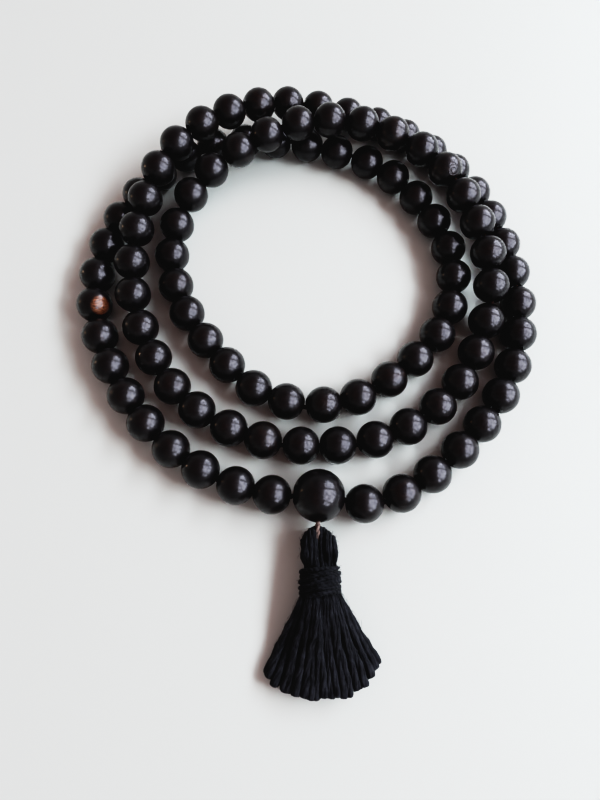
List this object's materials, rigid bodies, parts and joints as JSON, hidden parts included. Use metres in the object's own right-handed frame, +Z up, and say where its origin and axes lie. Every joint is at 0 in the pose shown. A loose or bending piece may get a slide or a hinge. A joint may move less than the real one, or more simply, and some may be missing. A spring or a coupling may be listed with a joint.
{
  "type": "mala prayer beads",
  "caption": "Strand of round dark wooden beads lying in a flat coil, closed by a larger guru bead with a short yarn tassel, used for counting prayers.",
  "frame": {"origin": "on the table below the middle of the whole object, coil and tassel together", "axes": "+Z up from the table, +Y from the tassel towards the far side of the coil, +X to the right with the tassel nearest the viewer"},
  "size_m": [0.1078, 0.1451, 0.0163],
  "materials": {
    "bead_wood": "satin, near black with a faint brown grain",
    "guru_wood": "satin, near black with a faint brown grain",
    "cord": "matte brown twisted thread",
    "yarn": "matte black cotton yarn",
    "binding": "matte black cotton thread"
  },
  "bodies": {
    "strand": {"strand_cord": "cord"},
    "guru": {"guru_bead": "guru_wood", "guru_cord": "cord"},
    "hanger": {"tassel_hanger": "cord"},
    "tassel": {"tassel_loop": "cord", "tassel_head": "yarn", "tassel_binding": "binding", "tassel_skirt": "yarn"},
    "beads_01_02": {"beads_01_02": "bead_wood"},
    "beads_03_04": {"beads_03_04": "bead_wood"},
    "beads_05_06": {"beads_05_06": "bead_wood"},
    "beads_07_08": {"beads_07_08": "bead_wood"},
    "beads_09_10": {"beads_09_10": "bead_wood"},
    "beads_11_12": {"beads_11_12": "bead_wood"},
    "beads_13_14": {"beads_13_14": "bead_wood"},
    "beads_15_16": {"beads_15_16": "bead_wood"},
    "beads_17_18": {"beads_17_18": "bead_wood"},
    "beads_19_20": {"beads_19_20": "bead_wood"},
    "beads_21_22": {"beads_21_22": "bead_wood"},
    "beads_23_24": {"beads_23_24": "bead_wood"},
    "beads_25_26": {"beads_25_26": "bead_wood"},
    "beads_27_28": {"beads_27_28": "bead_wood"},
    "beads_29_30": {"beads_29_30": "bead_wood"},
    "beads_31_32": {"beads_31_32": "bead_wood"},
    "beads_33_34": {"beads_33_34": "bead_wood"},
    "beads_35_36": {"beads_35_36": "bead_wood"},
    "beads_37_38": {"beads_37_38": "bead_wood"},
    "beads_39_40": {"beads_39_40": "bead_wood"},
    "beads_41_42": {"beads_41_42": "bead_wood"},
    "beads_43_44": {"beads_43_44": "bead_wood"},
    "beads_45_46": {"beads_45_46": "bead_wood"},
    "beads_47_48": {"beads_47_48": "bead_wood"},
    "beads_49_50": {"beads_49_50": "bead_wood"},
    "beads_51_52": {"beads_51_52": "bead_wood"},
    "beads_53_54": {"beads_53_54": "bead_wood"},
    "beads_55_56": {"beads_55_56": "bead_wood"},
    "beads_57_58": {"beads_57_58": "bead_wood"},
    "beads_59_60": {"beads_59_60": "bead_wood"},
    "beads_61_62": {"beads_61_62": "bead_wood"},
    "beads_63_64": {"beads_63_64": "bead_wood"},
    "beads_65_66": {"beads_65_66": "bead_wood"},
    "beads_67_68": {"beads_67_68": "bead_wood"},
    "beads_69_70": {"beads_69_70": "bead_wood"},
    "beads_71_72": {"beads_71_72": "bead_wood"},
    "beads_73_74": {"beads_73_74": "bead_wood"},
    "beads_75_76": {"beads_75_76": "bead_wood"},
    "beads_77_78": {"beads_77_78": "bead_wood"},
    "beads_79_80": {"beads_79_80": "bead_wood"},
    "beads_81_82": {"beads_81_82": "bead_wood"},
    "beads_83_84": {"beads_83_84": "bead_wood"},
    "beads_85_86": {"beads_85_86": "bead_wood"},
    "beads_87_88": {"beads_87_88": "bead_wood"},
    "beads_89_90": {"beads_89_90": "bead_wood"},
    "beads_91_92": {"beads_91_92": "bead_wood"},
    "beads_93_94": {"beads_93_94": "bead_wood"},
    "beads_95_96": {"beads_95_96": "bead_wood"},
    "bead_97": {"bead_97": "bead_wood"}
  },
  "joints": [
    {"name": "guru_roll", "type": "hinge", "parent": "strand", "child": "guru", "pos_m": [0.00424, -0.03356, 0.0055], "axis": [-1, 0, 0], "range_deg": [0, 110]},
    {"name": "tassel_swing", "type": "hinge", "parent": "guru", "child": "hanger", "pos_m": [0.00424, -0.03906, 0.0055], "axis": [0, 0, 1], "range_deg": [-20, 20]},
    {"name": "tassel_twist", "type": "hinge", "parent": "hanger", "child": "tassel", "pos_m": [0.00424, -0.03906, 0.0055], "axis": [0.0698, -0.9976, 0], "range_deg": [-90, 90]},
    {"name": "beads_01_02_spin", "type": "hinge", "parent": "strand", "child": "beads_01_02", "pos_m": [-0.00942, -0.03276, 0.00424], "axis": [-0.9779, 0.2064, -0.0347], "continuous": true},
    {"name": "beads_03_04_spin", "type": "hinge", "parent": "strand", "child": "beads_03_04", "pos_m": [-0.02435, -0.02677, 0.0041], "axis": [-0.8509, 0.5254, 0], "continuous": true},
    {"name": "beads_05_06_spin", "type": "hinge", "parent": "strand", "child": "beads_05_06", "pos_m": [-0.03645, -0.01612, 0.0041], "axis": [-0.6431, 0.7658, 0], "continuous": true},
    {"name": "beads_07_08_spin", "type": "hinge", "parent": "strand", "child": "beads_07_08", "pos_m": [-0.04516, -0.0025, 0.0041], "axis": [-0.4273, 0.9041, 0], "continuous": true},
    {"name": "beads_09_10_spin", "type": "hinge", "parent": "strand", "child": "beads_09_10", "pos_m": [-0.04955, 0.01297, 0.0041], "axis": [-0.067, 0.9978, 0], "continuous": true},
    {"name": "beads_11_12_spin", "type": "hinge", "parent": "strand", "child": "beads_11_12", "pos_m": [-0.04759, 0.02894, 0.0041], "axis": [0.2833, 0.959, 0], "continuous": true},
    {"name": "beads_13_14_spin", "type": "hinge", "parent": "strand", "child": "beads_13_14", "pos_m": [-0.04061, 0.04348, 0.0041], "axis": [0.5621, 0.8271, 0], "continuous": true},
    {"name": "beads_15_16_spin", "type": "hinge", "parent": "strand", "child": "beads_15_16", "pos_m": [-0.0293, 0.05472, 0.0041], "axis": [0.8809, 0.4733, 0], "continuous": true},
    {"name": "beads_17_18_spin", "type": "hinge", "parent": "strand", "child": "beads_17_18", "pos_m": [-0.01372, 0.05833, 0.0041], "axis": [0.9987, 0.0503, 0], "continuous": true},
    {"name": "beads_19_20_spin", "type": "hinge", "parent": "strand", "child": "beads_19_20", "pos_m": [0.00236, 0.05681, 0.0041], "axis": [0.9735, -0.2286, 0], "continuous": true},
    {"name": "beads_21_22_spin", "type": "hinge", "parent": "strand", "child": "beads_21_22", "pos_m": [0.01733, 0.05089, 0.0041], "axis": [0.8417, -0.5399, 0], "continuous": true},
    {"name": "beads_23_24_spin", "type": "hinge", "parent": "strand", "child": "beads_23_24", "pos_m": [0.02855, 0.03944, 0.0041], "axis": [0.5444, -0.8388, 0], "continuous": true},
    {"name": "beads_25_26_spin", "type": "hinge", "parent": "strand", "child": "beads_25_26", "pos_m": [0.0344, 0.02455, 0.0041], "axis": [0.1232, -0.9924, 0], "continuous": true},
    {"name": "beads_27_28_spin", "type": "hinge", "parent": "strand", "child": "beads_27_28", "pos_m": [0.03207, 0.00881, 0.0041], "axis": [-0.3996, -0.9167, 0], "continuous": true},
    {"name": "beads_29_30_spin", "type": "hinge", "parent": "strand", "child": "beads_29_30", "pos_m": [0.02228, -0.00386, 0.0041], "axis": [-0.7491, -0.6625, 0], "continuous": true},
    {"name": "beads_31_32_spin", "type": "hinge", "parent": "strand", "child": "beads_31_32", "pos_m": [0.00856, -0.01207, 0.0041], "axis": [-0.9627, -0.2707, 0], "continuous": true},
    {"name": "beads_33_34_spin", "type": "hinge", "parent": "strand", "child": "beads_33_34", "pos_m": [-0.00719, -0.01135, 0.0041], "axis": [-0.9358, 0.3527, 0], "continuous": true},
    {"name": "beads_35_36_spin", "type": "hinge", "parent": "strand", "child": "beads_35_36", "pos_m": [-0.01996, -0.00177, 0.0041], "axis": [-0.6808, 0.7325, 0], "continuous": true},
    {"name": "beads_37_38_spin", "type": "hinge", "parent": "strand", "child": "beads_37_38", "pos_m": [-0.02926, 0.01141, 0.00411], "axis": [-0.4217, 0.9067, 0.0025], "continuous": true},
    {"name": "beads_39_40_spin", "type": "hinge", "parent": "strand", "child": "beads_39_40", "pos_m": [-0.03245, 0.02699, 0.00473], "axis": [0.0653, 0.9899, 0.1262], "continuous": true},
    {"name": "beads_41_42_spin", "type": "hinge", "parent": "strand", "child": "beads_41_42", "pos_m": [-0.0269, 0.04143, 0.00811], "axis": [0.5893, 0.7762, 0.2242], "continuous": true},
    {"name": "beads_43_44_spin", "type": "hinge", "parent": "strand", "child": "beads_43_44", "pos_m": [-0.01484, 0.05161, 0.01108], "axis": [0.8457, 0.5188, 0.1252], "continuous": true},
    {"name": "beads_45_46_spin", "type": "hinge", "parent": "strand", "child": "beads_45_46", "pos_m": [-0.00006, 0.05787, 0.012], "axis": [0.9791, 0.2026, -0.0146], "continuous": true},
    {"name": "beads_47_48_spin", "type": "hinge", "parent": "strand", "child": "beads_47_48", "pos_m": [0.01585, 0.05745, 0.01111], "axis": [0.9561, -0.2892, -0.0483], "continuous": true},
    {"name": "beads_49_50_spin", "type": "hinge", "parent": "strand", "child": "beads_49_50", "pos_m": [0.02953, 0.04924, 0.0106], "axis": [0.7078, -0.7059, -0.0277], "continuous": true},
    {"name": "beads_51_52_spin", "type": "hinge", "parent": "strand", "child": "beads_51_52", "pos_m": [0.03804, 0.03564, 0.01012], "axis": [0.385, -0.9222, -0.0376], "continuous": true},
    {"name": "beads_53_54_spin", "type": "hinge", "parent": "strand", "child": "beads_53_54", "pos_m": [0.04204, 0.02009, 0.00891], "axis": [0.0878, -0.9812, -0.1718], "continuous": true},
    {"name": "beads_55_56_spin", "type": "hinge", "parent": "strand", "child": "beads_55_56", "pos_m": [0.04029, 0.00463, 0.00516], "axis": [-0.3069, -0.9392, -0.1539], "continuous": true},
    {"name": "beads_57_58_spin", "type": "hinge", "parent": "strand", "child": "beads_57_58", "pos_m": [0.03261, -0.0094, 0.00414], "axis": [-0.6539, -0.7565, -0.0113], "continuous": true},
    {"name": "beads_59_60_spin", "type": "hinge", "parent": "strand", "child": "beads_59_60", "pos_m": [0.01978, -0.01899, 0.0041], "axis": [-0.9113, -0.4118, 0], "continuous": true},
    {"name": "beads_61_62_spin", "type": "hinge", "parent": "strand", "child": "beads_61_62", "pos_m": [0.00409, -0.02246, 0.0041], "axis": [-0.9987, -0.0506, 0], "continuous": true},
    {"name": "beads_63_64_spin", "type": "hinge", "parent": "strand", "child": "beads_63_64", "pos_m": [-0.01191, -0.02065, 0.0041], "axis": [-0.9556, 0.2947, 0], "continuous": true},
    {"name": "beads_65_66_spin", "type": "hinge", "parent": "strand", "child": "beads_65_66", "pos_m": [-0.026, -0.013, 0.00413], "axis": [-0.7545, 0.6563, 0.0077], "continuous": true},
    {"name": "beads_67_68_spin", "type": "hinge", "parent": "strand", "child": "beads_67_68", "pos_m": [-0.03575, -0.00024, 0.00469], "axis": [-0.4622, 0.8831, 0.0801], "continuous": true},
    {"name": "beads_69_70_spin", "type": "hinge", "parent": "strand", "child": "beads_69_70", "pos_m": [-0.04063, 0.01496, 0.00668], "axis": [-0.1281, 0.9809, 0.1461], "continuous": true},
    {"name": "beads_71_72_spin", "type": "hinge", "parent": "strand", "child": "beads_71_72", "pos_m": [-0.04007, 0.03089, 0.00919], "axis": [0.1751, 0.9715, 0.1598], "continuous": true},
    {"name": "beads_73_74_spin", "type": "hinge", "parent": "strand", "child": "beads_73_74", "pos_m": [-0.03496, 0.04598, 0.01156], "axis": [0.4865, 0.8674, 0.1046], "continuous": true},
    {"name": "beads_75_76_spin", "type": "hinge", "parent": "strand", "child": "beads_75_76", "pos_m": [-0.02436, 0.05797, 0.01187], "axis": [0.7834, 0.614, -0.0964], "continuous": true},
    {"name": "beads_77_78_spin", "type": "hinge", "parent": "strand", "child": "beads_77_78", "pos_m": [-0.01059, 0.06582, 0.00901], "axis": [0.9132, 0.3373, -0.2289], "continuous": true},
    {"name": "beads_79_80_spin", "type": "hinge", "parent": "strand", "child": "beads_79_80", "pos_m": [0.00481, 0.06818, 0.00525], "axis": [0.9844, -0.0688, -0.1621], "continuous": true},
    {"name": "beads_81_82_spin", "type": "hinge", "parent": "strand", "child": "beads_81_82", "pos_m": [0.0202, 0.0638, 0.00415], "axis": [0.9017, -0.4322, -0.0135], "continuous": true},
    {"name": "beads_83_84_spin", "type": "hinge", "parent": "strand", "child": "beads_83_84", "pos_m": [0.03338, 0.05454, 0.0041], "axis": [0.7084, -0.7058, 0], "continuous": true},
    {"name": "beads_85_86_spin", "type": "hinge", "parent": "strand", "child": "beads_85_86", "pos_m": [0.04282, 0.04147, 0.0041], "axis": [0.4555, -0.8902, 0], "continuous": true},
    {"name": "beads_87_88_spin", "type": "hinge", "parent": "strand", "child": "beads_87_88", "pos_m": [0.04818, 0.02622, 0.0041], "axis": [0.2149, -0.9766, 0], "continuous": true},
    {"name": "beads_89_90_spin", "type": "hinge", "parent": "strand", "child": "beads_89_90", "pos_m": [0.04955, 0.01013, 0.0041], "axis": [-0.0654, -0.9979, 0], "continuous": true},
    {"name": "beads_91_92_spin", "type": "hinge", "parent": "strand", "child": "beads_91_92", "pos_m": [0.04581, -0.00553, 0.0041], "axis": [-0.405, -0.9143, 0], "continuous": true},
    {"name": "beads_93_94_spin", "type": "hinge", "parent": "strand", "child": "beads_93_94", "pos_m": [0.03705, -0.01909, 0.0041], "axis": [-0.6481, -0.7615, 0], "continuous": true},
    {"name": "beads_95_96_spin", "type": "hinge", "parent": "strand", "child": "beads_95_96", "pos_m": [0.02507, -0.0299, 0.0041], "axis": [-0.8345, -0.551, 0], "continuous": true},
    {"name": "bead_97_spin", "type": "hinge", "parent": "strand", "child": "bead_97", "pos_m": [0.01389, -0.0346, 0.00413], "axis": [-0.9934, -0.0831, 0.0794], "continuous": true}
  ]
}
